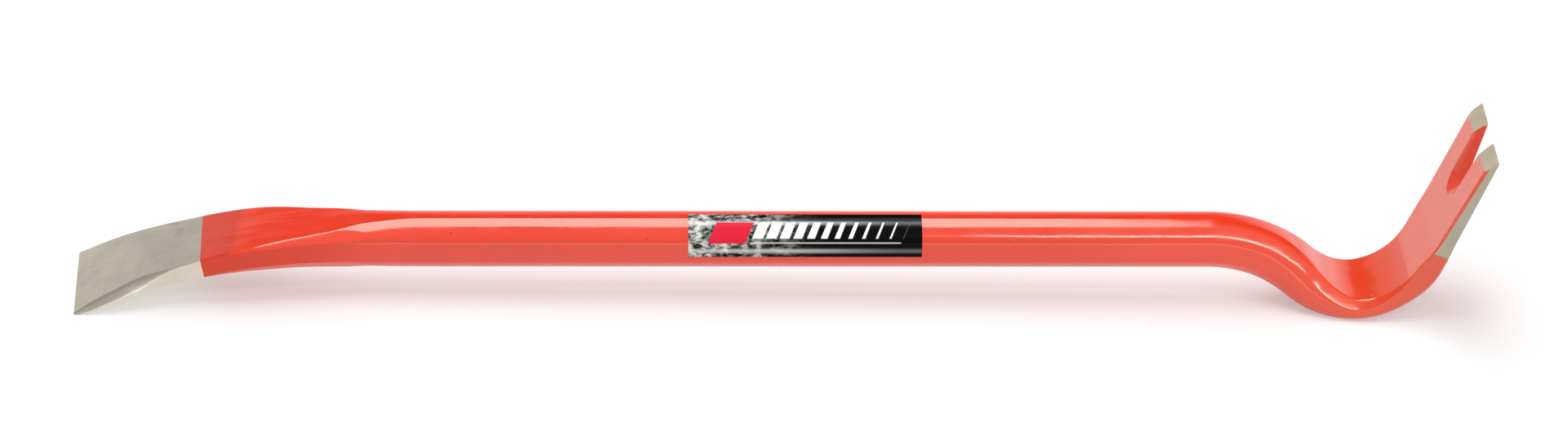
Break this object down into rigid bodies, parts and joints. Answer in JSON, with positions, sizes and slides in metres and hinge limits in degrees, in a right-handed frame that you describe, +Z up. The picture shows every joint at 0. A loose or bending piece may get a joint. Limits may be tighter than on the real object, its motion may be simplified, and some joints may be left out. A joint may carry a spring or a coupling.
{
  "type": "wrecking bar",
  "caption": "Octagonal steel wrecking bar with a curved chisel blade at one end, a goose-neck hook with a slotted claw at the other, a red paint coat and a wrapped label.",
  "frame": {"origin": "on the resting surface, under the middle of the bar's bounding box", "axes": "+X along the bar from the blade to the claw, +Y across it, +Z up; the bar lies on its heel and its blade, so its grip rises 0.7 degrees towards the claw"},
  "size_m": [0.5998, 0.053, 0.082],
  "materials": {
    "ground_steel": "ground and lightly polished, warm grey",
    "red_paint": "glossy orange-red powder paint",
    "label_film": "glossy printed film"
  },
  "bodies": {
    "root": {"forged_steel_bar": "ground_steel", "red_paint_coat": "red_paint", "printed_label": "label_film"}
  },
  "joints": []
}
